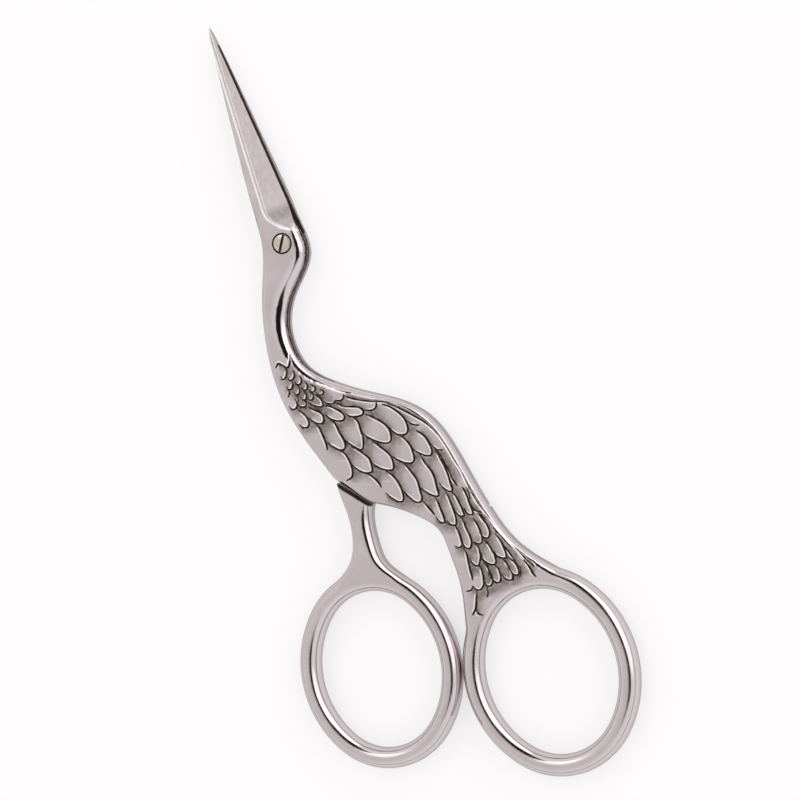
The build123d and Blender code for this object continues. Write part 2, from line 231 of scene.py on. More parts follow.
# The room: strengths, where 1 is white, and directions from the scissors
ROOM_COLOUR = (1.0, 0.965, 0.975)
ROOM_LEVEL = 1.0
SCREENS = [  # direction, angles in degrees where full and where gone, strength
    ((-0.35, 0.52, 0.78), 12, 20, 2.0), ((0.55, 0.8, 0.28), 18, 30, 2.0),
    ((0.775, 0.345, 0.53), 16, 26, 1.6), ((0.52, 0.36, 0.775), 9, 15, 2.15),
]
HORIZON_LEVEL = 0.2
HORIZON_SHARE = 0.7
HORIZON_FOOT, HORIZON_TOP = (-0.12, -0.02), (-0.2, -0.06)
GAP_LEVEL = 0.01
GAP_SIDE = Vector((-0.897, -0.285, 0.336))
GAP_MIDDLE = Vector((0.249, 0.301, 0.92))
GAP_NEAR, GAP_FAR = (-0.3, -0.19), (-0.26, -0.17)
GAP_FULL, GAP_GONE = 34, 41  # degrees from its middle

# Width of the rounded edge, by places along the outlines
EDGE_WIDTHS = [
    (-12.0, 31.0, 0.3), (-7.0, 20.0, 0.35), (-4.0, 9.0, 0.4), (-3.6, 1.0, 0.8), (-3.4, -5.0, 1.1),
    (-2.8, -13.0, 1.1), (0.8, -24.0, 0.9), (5.5, -31.0, 0.6), (13.0, -37.0, 0.45),
    (20.0, -39.0, 0.45), (25.0, -43.0, 0.5), (27.0, -50.0, 0.9), (27.8, -54.0, 1.0),
    (46.0, -48.0, 1.3), (39.0, -45.0, 1.35), (31.0, -37.5, 1.35), (25.5, -28.0, 1.35),
    (18.0, -22.5, 1.45), (10.0, -20.5, 1.4), (2.6, -5.0, 2.5), (2.3, -7.6, 2.8), (1.8, -9.6, 2.8),
    (1.7, -12.5, 2.6), (3.0, -15.5, 2.2), (5.0, -18.0, 1.7), (4.0, -1.2, 1.9), (3.7, 1.0, 1.6),
    (3.0, 3.0, 1.0), (1.0, 8.0, 0.35), (-8.0, 28.0, 0.3), (8.6, -37.0, 0.9), (10.5, -42.5, 0.9),
    (8.5, -48.5, 0.9), (13.4, -39.5, 1.6), (13.6, -42.5, 1.6), (15.5, -45.5, 1.4),
    (19.5, -48.5, 1.1),
]

# Feathers: the edge of each, down its upper side to the tip and back up its lower side. The first
# place is right of and down from the pivot, and the steps after it are right and down, all in
# hundredths of a millimetre
FEATHERS = [
    (103, 1615, 3, 87, -19, 90, -61, -22, -87, -36, -33, 65),
    (49, 1797, 13, 72, -16, 73, -39, 28, -30, -36),
    (165, 1839, 18, 58, -19, 58, -48, 30, -31, -36),
    (272, 1917, 20, 58, -13, 52, -46, 15, -38, -37),
    (133, 1984, 19, 58, -10, 55, -40, 20, -31, -38),
    (239, 2057, 25, 63, -13, 53, -40, 15, -34, -37),
    (354, 1996, 28, 59, -6, 49, -41, 15, -37, -34),
    (93, 2117, 14, 58, -11, 49),
    (334, 2134, 32, 57, -3, 53, -43, 15, -41, -37),
    (450, 2038, 50, 41, -3, 47, -37, 18, -47, -32),
    (590, 2108, 40, 27, -9, 38, -53, 10, -46, -29),
    (428, 2147, 44, 49, -6, 46, -41, 21, -46, -28),
    (226, 2215, 16, 58, -22, 58),
    (201, 2258, 24, 80, -24, 56, -57, 1, -30, -27),
    (332, 2261, 34, 46, -19, 51, -62, 1, -53, -27),
    (245, 2411, 73, 54, 68, 71, 25, 72, -34, 54, -59, -7, -49, -27),
    (396, 2363, 77, 44, 117, 43, 47, 63, -9, 73, -57, 15, -68, -22, -90, -55),
    (483, 2181, 88, 52, 48, 72, -9, 46, -98, -8, -116, -43),
    (648, 2343, 117, 23, 134, 62, 59, 62, -21, 54, -86, 10, -87, -24, -97, -54),
    (819, 2266, -36, 42, -96, -7, -68, -22),
    (953, 2180, -11, 43, -43, 36, -80, 7),
    (822, 2293, 108, 53, 123, 9, 124, 5, 69, 46, -9, 52, -87, 29, -97, -2, -77, -31),
    (1458, 2276, -11, 58, -28, 41, -76, 23, -77, -3),
    (1284, 2458, 154, 61, 115, 60, 86, 80, 29, 89, 0, 86, -77, 29, -115, -21, -115, -44, -115,
     -60),
    (1092, 2497, 77, 79, 38, 108, 36, 108, 3, 130, -30, 42, -66, -26, -97, -52, -77, -45),
    (754, 2547, 68, 71, 58, 108, 67, 107, 26, 86, -27, 50, -66, 1, -88, -43, -87, -45),
    (512, 2606, 59, 72, 48, 89, 48, 107, 38, 108),
    (880, 2979, 96, 70, 77, 126, 29, 108, -9, 81, -68, 55),
    (1073, 2922, 116, 70, 133, 87, 48, 90, 11, 103, -59, 26, -95, -18, -97, -53, -57, -35),
    (1390, 2844, 124, 87, 125, 88, 58, 88, 18, 115, -47, 30, -115, -15, -115, -52, -68, -35),
    (1284, 3305, 115, 61, 97, 89, 38, 44),
    (1611, 3272, 95, 70, 77, 88, 58, 106, 27, 115, -18, 48, -54, 1, -90, -44, -95, -60),
    (1868, 3149, 106, 115, 96, 123, 47, 143, 29, 120, -29, 51, -67, -7, -95, -70, -76, -61),
    (1802, 2746, 95, 70, 77, 89, 42, 107, 11, 89, -44, 42, -86, -4, -95, -34, -96, -42),
    (1553, 2309, 115, 43, 115, 70, 96, 89, 47, 107, 0, 78, -38, 34, -86, 7, -76, -35, -77, -62),
    (2070, 2678, 114, 79, 76, 107, 38, 102, -20, 58, -76, 2, -94, -34, -96, -43),
    (2108, 2599, -77, -10, -105, -43),
    (2468, 2949, -76, -5, -56, -37, -58, -44),
    (2117, 3027, 67, 107, 94, 105, 58, 107, 38, 143, 28, 98, -20, 22, -66, -11, -94, -43, -87,
     -53),
    (2354, 2951, 58, 106, 76, 125, 56, 124, 38, 125, 29, 82, -29, 25, -76, -34, -94, -79),
    (2392, 2969, 76, 142, 85, 141, 49, 107, 85, 95),
    (2164, 3692, 96, 105, 85, 79),
    (2355, 3633, 57, 125, 47, 106, 38, 107, -21, 19, -45, -17, -67, -62),
    (2506, 3540, 76, 159, 58, 142, 30, 143, -21, 36, -67, -15, -56, -45),
    (2602, 3538, 76, 106, 76, 141, 30, 83, -23, 20, -45, -13, -76, -61),
    (2772, 3480, 57, 125, 47, 123, 44, 108, -23, 29, -50, -20, -56, -61),
    (2829, 3479, 47, 160),
    (2885, 3713, 45, 80, 61, 27, 60, 4),
    (2998, 3824, 58, 97, 65, 70, 48, 96, 3, 63, -31, 42, -67, -21, -47, -53),
    (2932, 3924, 67, 106, 37, 88, 22, 106, -21, 47, -56, 0, -49, -16),
    (2754, 3910, 56, 142, 66, 124, 25, 96, -25, 73, -66, -15, -56, -79),
    (2649, 4020, 56, 106, 38, 107, 3, 80, -30, 28, -58, -16),
    (3045, 3850, 67, 130),
    (3262, 4130, 76, 106, 47, 87, 40, 106, -9, 40, -58, -2, -76, -34, -37, -52),
    (3094, 4224, 75, 88, 65, 105, 33, 102, -22, 49, -86, -16, -75, -51, -38, -79),
    (2943, 4272, 56, 61, 29, 90, 0, 89, -29, 81, -75, -34, -47, -60),
    (2792, 4358, 47, 123, 38, 178, 51, 142),
    (3413, 4314, 47, 78, 103, 123),
    (3460, 4464, 104, 87, 46, 87, 0, 54, -31, 18, -53, -25, -46, -52, -47, -78),
    (3376, 4485, 75, 105, 57, 105, 3, 69, -31, 21, -66, -26, -56, -42),
    (3263, 4577, 47, 70, 28, 89, -3, 62, -34, 28, -66, -34, -47, -70, -29, -71),
    (3094, 4528, 65, 123, 48, 89, 10, 75, -29, 59, -56, -7, -38, -52),
    (3019, 4584, 47, 124, 18, 107, -9, 72, -47, 52, -57, -13, -43, -35),
    (2928, 4891, -33, 54, -56, 21),
    (2981, 4936, -7, 115, -9, 143, -39, 109),
    (2965, 5209, 35, 77, 66, 13),
    (3141, 4902, 6, 135),
    (3613, 4581, 26, 42, -6, 114),
    (3695, 4493, 75, 105, 56, 88, 46, 34),
    (3522, 4712, 9, 85),
]
# Inner side of the smooth band along the back, in the same way
BAND = (
    961, 2197, 123, 42, 246, 32, 231, 7, 153, 52, 137, 62, 153, 70, 183, 97, 167, 141, 114, 141,
    85, 125, 87, 141, 94, 142, 95, 177, 76, 141, 93, 141, 114, 140, 113, 140, 113, 126, 150, 153,
    150, 139, 95, 97, 115, 78,
)


def norms(vectors):
    """The length of each vector."""
    return np.linalg.norm(vectors, axis=-1)


def after(places):
    """For each place or number of a closed row, the one after it."""
    return np.roll(places, -1, axis=0)


def polygon_area(loop):
    """Signed area of a closed outline."""
    following = after(loop)
    return 0.5 * float(np.sum(loop[:, 0] * following[:, 1] - loop[:, 1] * following[:, 0]))


def slice_loops(node, height):
    """Closed outlines of a CAD node at a height above the parting face, largest first."""
    cut = bmesh.new()
    cut.from_mesh(frame["nodes"][node].data)
    bmesh.ops.remove_doubles(cut, verts=cut.verts, dist=1e-7)
    bmesh.ops.bisect_plane(cut, geom=cut.verts[:] + cut.edges[:] + cut.faces[:],
                           plane_co=(0, 0, (PIVOT[2] + height) * MM), plane_no=(0, 0, 1),
                           clear_outer=True, clear_inner=True)
    left = set(cut.verts)
    loops = []
    while left:
        vertex = min(left, key=lambda v: v.index)
        loop = []
        while vertex is not None:
            left.discard(vertex)
            loop.append((vertex.co.x / MM - PIVOT[0], vertex.co.y / MM - PIVOT[1]))
            following = [e.other_vert(vertex) for e in vertex.link_edges]
            following = [v for v in following if v in left]
            vertex = following[0] if following else None
        loop = np.array(loop)
        loops.append(loop if polygon_area(loop) > 0 else loop[::-1])
    cut.free()
    return sorted(loops, key=polygon_area, reverse=True)


def resample(points, step):
    """Points at an even step along an open line, both ends kept."""
    lengths = np.concatenate([[0], np.cumsum(norms(np.diff(points, axis=0)))])
    count = max(int(round(lengths[-1] / step)), 1)
    at = np.linspace(0, lengths[-1], count + 1)
    return np.stack([np.interp(at, lengths, points[:, i]) for i in (0, 1)], axis=1)


def relaxed(line, rounds, closed=False):
    """An open or closed line with its small kinks evened out."""
    for _ in range(rounds):
        if closed:
            line = line + 0.25 * (np.roll(line, 1, axis=0) + after(line) - 2 * line)
        else:
            line[1:-1] += 0.25 * (line[:-2] + line[2:] - 2 * line[1:-1])
    return line


def smooth_loop(loop):
    """The outline at an even step, smooth except at the blade's corners."""
    keep = norms(loop - np.roll(loop, 1, axis=0)) > SAME_PLACE
    loop = loop[keep]
    x, y = (loop - np.roll(loop, 1, axis=0)).T
    next_x, next_y = (after(loop) - loop).T
    turn = np.degrees(np.abs(np.arctan2(x * next_y - y * next_x, x * next_x + y * next_y)))
    corners = np.flatnonzero((turn > CORNER_TURN) & (loop[:, 1] > CORNERS_FROM))
    if len(corners) == 0:
        even = resample(np.vstack([loop, loop[:1]]), OUTLINE_STEP)[:-1]
        return relaxed(even, SMOOTH_ROUNDS, closed=True)
    loop = np.roll(loop, -corners[0], axis=0)
    corners = np.append(corners - corners[0], len(loop))
    loop = np.vstack([loop, loop[:1]])
    stretches = []
    for first, last in zip(corners, corners[1:]):
        even = resample(loop[first:last + 1], OUTLINE_STEP)
        stretches.append(relaxed(even, SMOOTH_ROUNDS)[:-1])
    return np.vstack(stretches)


def spline(points):
    """Points at an even step along a smooth curve through the given ones."""
    around = np.vstack([2 * points[0] - points[1], points, 2 * points[-1] - points[-2]])
    found = []
    for a, b, c, d in zip(around, around[1:], around[2:], around[3:]):
        for t in np.arange(SPLINE_PARTS) / SPLINE_PARTS:
            found.append(0.5 * (2 * b + (c - a) * t + (2 * a - 5 * b + 4 * c - d) * t**2
                                + (3 * b - a - 3 * c + d) * t**3))
    found.append(points[-1])
    return resample(np.array(found), SPLINE_STEP)


def left_of(line, closed=False):
    """The direction to the left, square to an open or closed line, at each of its places."""
    if closed:
        run = after(line) - np.roll(line, 1, axis=0)
    else:
        run = np.gradient(line, axis=0)
    run /= norms(run)[:, None]
    return np.stack([-run[:, 1], run[:, 0]], axis=1)


def rows_beside(line, offsets):
    """Points in rows beside an open line."""
    square = left_of(line)
    return np.vstack([line + square * offset for offset in offsets])


def circle(radius, lean=0.0):
    """A circle of the plan round the pivot."""
    turn = lean + np.arange(CIRCLE_SIDES) * 2 * pi / CIRCLE_SIDES
    return radius * np.stack([np.cos(turn), np.sin(turn)], axis=1)


def grid(low, high, step):
    """A triangular grid of points over a box of the plan."""
    xs = np.arange(low[0], high[0], step)
    ys = np.arange(low[1], high[1], step * sqrt(3) / 2)
    x, y = np.meshgrid(xs, ys)
    x = x + (np.arange(len(ys))[:, None] % 2) * step / 2
    return np.stack([x.ravel(), y.ravel()], axis=1)


def segment_distance(points, starts, ends):
    """Distance of every point to every segment, and the share along the segment."""
    run = ends - starts
    length2 = np.maximum(np.sum(run * run, axis=1), 1e-12)
    offset = points[:, None, :] - starts[None]
    share = np.clip(np.sum(offset * run[None], axis=2) / length2, 0, 1)
    gap = offset - share[..., None] * run[None]
    return np.sqrt(np.sum(gap * gap, axis=2)), share


def tree_of(points):
    """A search tree of points of the plan."""
    tree = kdtree.KDTree(len(points))
    for index, point in enumerate(points):
        tree.insert((*point, 0), index)
    tree.balance()
    return tree


def nearest(points, starts, ends=None):
    """Distance of each point to the nearest of some short segments, or of a closed outline."""
    if ends is None:
        ends = after(starts)
    tree = tree_of((starts + ends) / 2)
    found = np.empty(len(points))
    for index, point in enumerate(points):
        close = [i for _, i, _ in tree.find_n((*point, 0), 3)]
        found[index] = segment_distance(point[None], starts[close], ends[close])[0].min()
    return found


def nearest_place(points, places):
    """Distance of each point to the nearest of some places."""
    tree = tree_of(places)
    return np.array([tree.find((*point, 0))[2] for point in points])


def thinned(points, taken, gap):
    """The points that keep a gap from those taken already."""
    return points[nearest_place(points, taken) > gap]


def sparse(points, gap):
    """The points without those that nearly repeat one before them."""
    tree = tree_of(points)
    kept = np.ones(len(points), bool)
    for index, point in enumerate(points):
        if kept[index]:
            for _, other, _ in tree.find_range((*point, 0), gap):
                if other > index:
                    kept[other] = False
    return points[kept]


def near_rows(points, rows, reach, cell=0.3):
    """Which points lie within about reach of some rows of points."""
    corner = np.minimum(points.min(axis=0), rows.min(axis=0)) - 2 * reach
    far = np.maximum(points.max(axis=0), rows.max(axis=0))
    marked = np.zeros(((far - corner + 2 * reach) / cell).astype(int) + 1, bool)
    x, y = ((rows - corner) / cell).astype(int).T
    steps = int(round(reach / cell))
    for dx in range(-steps, steps + 1):
        for dy in range(-steps, steps + 1):
            if dx * dx + dy * dy <= steps * steps:
                marked[x + dx, y + dy] = True
    x, y = ((points - corner) / cell).astype(int).T
    return marked[x, y]


def inside(points, loop):
    """Which points lie within a closed outline."""
    result = np.zeros(len(points), bool)
    following = after(loop)
    low, high = np.minimum(loop[:, 1], following[:, 1]), np.maximum(loop[:, 1], following[:, 1])
    order = np.argsort(points[:, 1], kind="stable")
    for group in np.array_split(order, max(len(points) // 300, 1)):
        if len(group) == 0:
            continue
        x, y = points[group, 0][:, None], points[group, 1][:, None]
        near = (high >= y.min()) & (low <= y.max())
        a, b = loop[near], following[near]
        spans = (a[:, 1] > y) != (b[:, 1] > y)
        rise = np.where(np.abs(b[:, 1] - a[:, 1]) < 1e-12, 1e-12, b[:, 1] - a[:, 1])
        cross = a[:, 0] + (y - a[:, 1]) * (b[:, 0] - a[:, 0]) / rise
        result[group] = np.sum(spans & (x < cross), axis=1) % 2 == 1
    return result


def tiles(points, reach, size=4.0):
    """Index groups of nearby points, each with the low and high corner of its surroundings."""
    keys = np.floor(points / size).astype(int)
    order = np.lexsort((keys[:, 1], keys[:, 0]))
    keys = keys[order]
    starts = np.flatnonzero(np.any(np.diff(keys, axis=0, prepend=keys[:1] - 1), axis=1))
    for start, stop in zip(starts, np.append(starts[1:], len(order))):
        low = keys[start] * size - reach
        yield order[start:stop], low, low + size + 2 * reach


def fading(gap, width, widths):
    """1 on a line, and 0 from a number of widths away from it."""
    return np.clip(widths - gap / width, 0, 1)


class Edges:
    """Rounded edges along closed outlines: what they leave of the thickness."""

    def __init__(self, node, outline, hole):
        self.loops = [outline, hole]
        self.params = []
        wire = WIRE[node]
        places = np.array(EDGE_WIDTHS)
        for loop in self.loops:
            from_hole = nearest(loop, hole)
            on_ring = (np.abs(from_hole - wire) < WIRE_PLAY) | (from_hole < HOLE_PLAY)
            gap = norms(loop[:, None] - places[None, :, :2])
            width = places[np.argmin(gap, axis=1), 2]
            params = np.stack([np.where(on_ring, RING_WALL, WALL),
                               np.where(on_ring, wire / 2, width),
                               np.where(on_ring, RING_HALF_HEIGHT, HALF_THICKNESS)], axis=1)
            self.params.append(relaxed(params, WIDTH_ROUNDS, closed=True))
        self.starts = np.vstack(self.loops)
        self.ends = np.vstack([after(loop) for loop in self.loops])
        self.first = np.vstack(self.params)
        self.last = np.vstack([after(p) for p in self.params])

    def height(self, points):
        """Height of the rounded surface over points of the plan, and the nearness of an edge."""
        height = np.full(len(points), HALF_THICKNESS)
        nearness = np.zeros(len(points))
        everywhere = np.ones(len(self.starts), bool)
        round_hole = np.arange(len(self.starts)) >= len(self.loops[0])
        for part, reach in ((everywhere, EDGE_REACH), (round_hole, RING_REACH)):
            starts, ends, first, last = (
                values[part] for values in (self.starts, self.ends, self.first, self.last))
            for group, low, high in tiles(points, reach):
                near = np.all((starts > low) & (starts < high), axis=1)
                if not near.any():
                    continue
                gap, share = segment_distance(points[group], starts[near], ends[near])
                wall, width, top = (first[near, i] + share * (last[near, i] - first[near, i])
                                    for i in range(3))
                inner = np.clip(1 - gap / width, 0, 1)
                rounded = wall + (top - wall) * np.sqrt(1 - inner**2)
                beyond = np.clip((gap - width) / RING_RUN, 0, 1)
                rounded += (HALF_THICKNESS - top) * beyond**2 * (3 - 2 * beyond)
                height[group] = np.minimum(height[group], rounded.min(axis=1))
                nearness[group] = np.maximum(nearness[group], inner.max(axis=1))
        return height, nearness

    def rows(self):
        """Points in rows along the inside of each outline."""
        found = []
        for loop, params, inward in zip(self.loops, self.params, (1, -1)):
            square = inward * left_of(loop, closed=True)
            for share in EDGE_SHARES:
                offset = params[:, 1:2] * share
                row = loop + square * offset
                kept = nearest(row, self.starts, self.ends) > EDGE_ROOM * offset[:, 0]
                found.append(row[kept])
        return np.vstack(found)


def blade_place(along, across):
    """Plan place from the place along the blades and right of their middle line."""
    aside = across - BLADE_ASIDE
    return np.array([-along * sin(BLADE_LEAN) + aside * cos(BLADE_LEAN),
                     along * cos(BLADE_LEAN) + aside * sin(BLADE_LEAN)])


def blade_half_width(along):
    """Half the blade's width at a place along it."""
    share = (along - ROOT_RISE) / (NOSE - ROOT_RISE)
    return (ROOT_WIDTH + share * (NOSE_WIDTH - ROOT_WIDTH)) / 2


def taper_height(along):
    """Height of the blade's flat outer face at a place along it."""
    share = (along - TAPER_START) / (BLADE_LENGTH - TAPER_START)
    return HALF_THICKNESS + share * (POINT_THICKNESS - HALF_THICKNESS)


class Grinding:
    """The flat taper of one blade, its ground face and the ridge between the two."""

    def __init__(self, spine):
        """spine is 1 where the blade's spine is on the right, or -1."""
        half = blade_half_width(GRIND_START)
        at_edge = blade_place(GRIND_START, spine * (EDGE_SETBACK - half))
        at_tip = blade_place(NOSE, spine * (EDGE_SETBACK - blade_half_width(NOSE)))
        self.ridge_foot = blade_place(GRIND_START, spine * half * (1 - 2 * RIDGE_SHARE))
        self.edge = np.append(at_edge, EDGE_LAND)
        self.along = np.append(at_tip, EDGE_LAND) - self.edge
        self.along /= np.linalg.norm(self.along)
        crest = np.append(self.ridge_foot, taper_height(GRIND_START))
        self.facing = np.cross(self.along, crest - self.edge)
        self.facing /= np.linalg.norm(self.facing) * np.sign(self.facing[2])

    def faces(self, points):
        """Heights of the taper and of the ground face over points of the plan."""
        along = -points[:, 0] * sin(BLADE_LEAN) + points[:, 1] * cos(BLADE_LEAN)
        taper = np.where(along > TAPER_START, taper_height(along), HALF_THICKNESS)
        offset = points - self.edge[:2]
        ground = self.edge[2] + offset @ (-self.facing[:2] / self.facing[2])
        before = np.clip(-(offset @ self.along[:2]), 0, GRIND_RADIUS)
        wheel = (GRIND_RADIUS - np.sqrt(GRIND_RADIUS**2 - before**2)) / self.facing[2]
        return taper, np.where(points[:, 1] > GRIND_FROM, ground + wheel, HALF_THICKNESS)

    def height(self, points):
        """Height that the grinding leaves over points of the plan, with the ridge rounded."""
        taper, ground = self.faces(points)
        rounding = np.clip(RIDGE_ROUND - np.abs(taper - ground), 0, None)
        return np.minimum(taper, ground) - rounding**2 / (4 * RIDGE_ROUND)

    def crest(self, points):
        """1 where the ground face meets the flat one, and 0 away from there."""
        taper, ground = self.faces(points)
        crest = fading(np.abs(taper - ground), *CREST_FADE)
        return np.where(points[:, 1] > GRIND_FROM, crest, 0)

    def crossing(self, along):
        """Place of the ridge: across the blade, where taper and ground face meet."""
        left, right = blade_place(along, -BLADE_REACH), blade_place(along, BLADE_REACH)
        low, high = (self.edge[2] - (place - self.edge[:2]) @ self.facing[:2] / self.facing[2]
                     for place in (left, right))
        return left + (taper_height(along) - low) / (high - low) * (right - left)

    def ridge(self):
        """The ridge, as a line of the plan."""
        return np.array([self.ridge_foot] + [
            self.crossing(along) for along in np.arange(GRIND_START + LINE_STEP, NOSE, LINE_STEP)])

    def rows(self):
        """Points in rows along the ridge, and over the wheel's run-out."""
        return np.vstack([rows_beside(self.ridge(), RIDGE_ROWS), grid(*RUN_OUT_GRID)])


class Plumage:
    """Grooves cut round the feathers."""

    def __init__(self):
        steps = [np.reshape(line, (-1, 2)) for line in (*FEATHERS, BAND)]
        self.lines = [spline(np.cumsum(step, axis=0) / (100, -100)) for step in steps]

    def carving(self, points):
        """How deep the grooves are over points of the plan, and how near the rims, from 0 to 1."""
        left = np.ones(len(points))
        rim = np.zeros(len(points))
        for line in self.lines:
            low, high = line.min(axis=0) - CARVING_REACH, line.max(axis=0) + CARVING_REACH
            near = np.flatnonzero(np.all((points > low) & (points < high), axis=1))
            if len(near) == 0:
                continue
            gap, share = segment_distance(points[near], line[:-1], line[1:])
            best = np.argmin(gap, axis=1)
            row = np.arange(len(near))
            run = line[best + 1] - line[best]
            offset = points[near] - line[best]
            outside = np.where(run[:, 0] * offset[:, 1] - run[:, 1] * offset[:, 0] > 0, 1, -1)
            at = best + share[row, best]
            from_end = np.minimum(at, len(line) - 1 - at) * SPLINE_STEP
            full = np.clip(from_end / GROOVE_END, 0, 1)
            across = outside * gap[row, best] - GROOVE_SHIFT * full
            outer = GROOVE_INNER + (GROOVE_OUTER - GROOVE_INNER) * full
            tail = TAIL_SHARE * full
            beyond = ((1 - tail) * np.exp(-(across / outer)**2)
                      + tail * np.exp(-np.abs(across) / GROOVE_TAIL))
            within = np.exp(-(across / GROOVE_INNER)**2)
            left[near] *= 1 - np.where(across > 0, beyond, within)
            # The feather's rim, inside its edge: raised a little, and given painted highlight
            painted_highlight = full * np.exp(-((across + RIM_SHIFT) / RIM_WIDTH)**2)
            rim[near] = np.maximum(rim[near], painted_highlight)
        return 1 - left, rim * left

    def rows(self):
        """Points in rows along both sides of the grooves."""
        rows = np.vstack([rows_beside(line, GROOVE_ROWS) for line in self.lines])
        return sparse(rows, GROOVE_ROW_GAP)

    def over(self, places, flat, nearness):
        """Heights with the grooves cut in, how deep the grooves are and how near the rims, for
        painted shade and painted highlight.
        """
        clear = np.clip((CARVED_UNTIL - nearness) / CARVED_FADE, 0, 1)
        clear = clear * clear * (3 - 2 * clear)
        groove_and_shade, rim = self.carving(places)
        height = flat + (RIM_RISE * rim - GROOVE_DEPTH * groove_and_shade) * clear
        return height, groove_and_shade * clear, rim * clear


def plan_mesh(loops, lines, points):
    """Triangles over the plan within the first loop and outside the others.

    Returns the plan places, the triangles, and the vertices of each loop and line."""
    places, edges, numbers = [], [], []
    for kind, runs in (("loop", loops), ("line", lines)):
        for run in runs:
            start = sum(len(p) for p in places)
            index = np.arange(start, start + len(run))
            places.append(run)
            numbers.append(index)
            following = after(index) if kind == "loop" else index[1:]
            edges += [(int(a), int(b)) for a, b in zip(index, following)]
    places = np.vstack(places + [points])
    found = delaunay_2d_cdt([Vector(p) for p in places], edges, [], 1, 1e-6)
    out = np.array([tuple(p) for p in found[0]])
    triangles = np.array(found[2])
    where = np.full(len(places), -1)
    for new, olds in enumerate(found[3]):
        where[olds] = new
    numbers = [where[index] for index in numbers]
    for hole in numbers[1:len(loops)]:
        within = np.zeros(len(out), bool)
        within[hole] = True
        triangles = triangles[~within[triangles].all(axis=1)]
    return out, triangles, numbers


def strip(first, second):
    """Quads between two closed rows of vertices."""
    return np.stack([first, after(first), after(second), second], axis=1)


def marked(places, height, painted_shade=0.0, polish=0.0, painted_highlight=0.0):
    """Vertices: places and heights, and how much painted shade, polish and painted highlight the
    steel has there.
    """
    every = np.ones(len(places))
    return np.column_stack([places] + [every * value for value in (height, painted_shade, polish, painted_highlight)])


def add_rings(vertices, groups, before, rings):
    """Adds closed rows of vertices, each joined to the one before. Returns the last's numbers."""
    for ring in rings:
        row = np.arange(len(ring)) + sum(len(v) for v in vertices)
        vertices.append(ring)
        groups.append(strip(before, row))
        before = row
    return before


def number_of(place, outline):
    """Number of the outline's place that is nearest to a given one."""
    return int(np.argmin(norms(outline - place)))


def shoulder_ends(thick, outline):
    """Both ends of the stretch where a thick part's outline crosses the half."""
    middle = (thick + after(thick)) / 2
    crossing = np.flatnonzero(nearest(middle, outline) > CROSSING_GAP)
    crossing = crossing[np.argsort((crossing - crossing[0] + len(thick) // 2) % len(thick))]
    return thick[[crossing[0], (crossing[-1] + 1) % len(thick)]]


def thick_outline(outline, first, last, hole):
    """The part of an outline from one of its places to another that goes round the ring."""
    arcs = []
    for start, stop in ((first, last), (last, first)):
        turn = np.roll(outline, -start, axis=0)
        arcs.append(turn[:(stop - start) % len(outline) + 1])
    middle = hole.mean(axis=0)
    gaps = [norms(arc - middle).min() for arc in arcs]
    return arcs[int(np.argmin(gaps))]


def right_side(outline):
    """Which places of an outline lie on the right of the blades, the head or the neck."""
    aside = outline[:, 0] * cos(BLADE_LEAN) + outline[:, 1] * sin(BLADE_LEAN)
    right = np.where(outline[:, 1] > BLADE_FROM, aside > 0, outline[:, 0] > 0)
    return right & (outline[:, 1] > STEP_PLACES[0]) & (outline[:, 1] < STEP_PLACES[-1])


def stepped_back(outline):
    """The front half's outline, inside the rear half's on the right."""
    step = np.interp(outline[:, 1], STEP_PLACES, STEP_BACK) * right_side(outline)
    return outline + left_of(outline, closed=True) * step[:, None]


